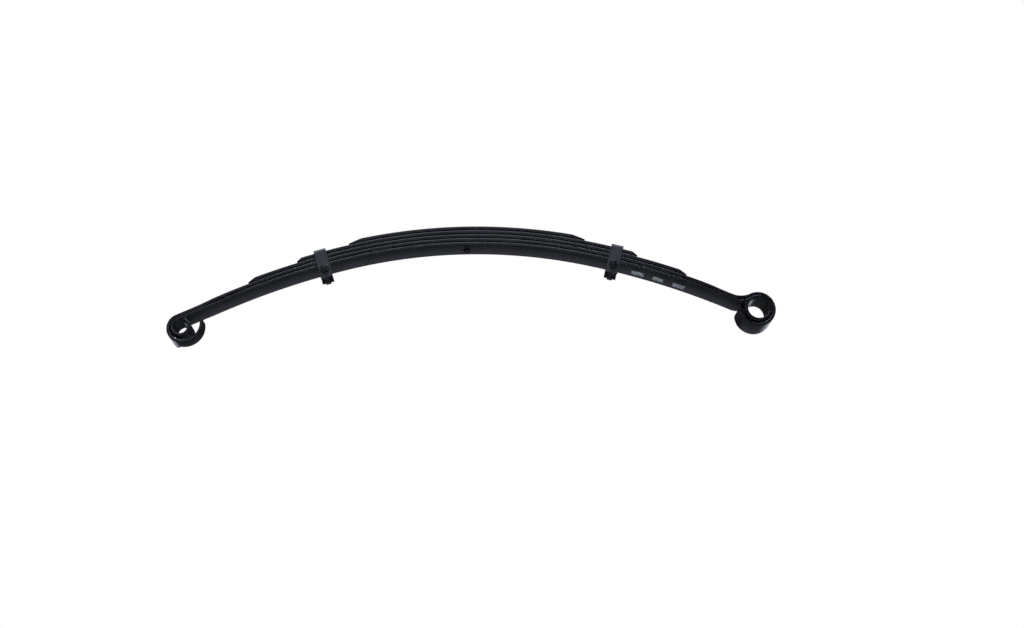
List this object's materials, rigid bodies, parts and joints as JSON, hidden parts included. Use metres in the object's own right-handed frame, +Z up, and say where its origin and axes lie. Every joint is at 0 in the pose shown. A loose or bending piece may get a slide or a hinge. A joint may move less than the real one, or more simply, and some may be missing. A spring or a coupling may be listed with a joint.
{
  "type": "leaf spring",
  "caption": "Arched multi-leaf suspension spring with rolled eyes wrapped by the second leaf, liners between the leaves, a centre bolt and bolted rebound clips.",
  "frame": {"origin": "on the centre bolt's axis, on the concave face of the main leaf", "axes": "+X along the spring towards the large eye, +Y across the width away from the clip nuts, +Z up through the stack towards its shortest leaf"},
  "size_m": [1.2795, 0.0884, 0.2583],
  "materials": {
    "leaf_paint": "gloss black paint on rolled spring steel",
    "clip_paint": "satin black paint on bent steel strap",
    "fastener_paint": "satin black paint on steel fasteners",
    "liner_plastic": "matt black plastic strip"
  },
  "bodies": {
    "leaf_pack": {"main_leaf": "leaf_paint", "second_leaf": "leaf_paint", "third_leaf": "leaf_paint", "fourth_leaf": "leaf_paint", "fifth_leaf": "leaf_paint", "first_liner": "liner_plastic", "second_liner": "liner_plastic", "third_liner": "liner_plastic", "fourth_liner": "liner_plastic", "centre_bolt": "fastener_paint", "centre_nut": "fastener_paint", "left_clip_strap": "clip_paint", "left_clip_rivet": "fastener_paint", "left_clip_bolt": "fastener_paint", "left_clip_nut": "fastener_paint", "right_clip_strap": "clip_paint", "right_clip_rivet": "fastener_paint", "right_clip_bolt": "fastener_paint", "right_clip_nut": "fastener_paint"},
    "left_clip_roller": {"left_clip_tube": "fastener_paint"},
    "right_clip_roller": {"right_clip_tube": "fastener_paint"}
  },
  "joints": [
    {"name": "left_tube_spin", "type": "hinge", "parent": "leaf_pack", "child": "left_clip_roller", "pos_m": [-0.30278, 0, -0.05075], "axis": [0, 1, 0], "continuous": true},
    {"name": "right_tube_spin", "type": "hinge", "parent": "leaf_pack", "child": "right_clip_roller", "pos_m": [0.30974, 0, -0.05267], "axis": [0, 1, 0], "continuous": true}
  ]
}
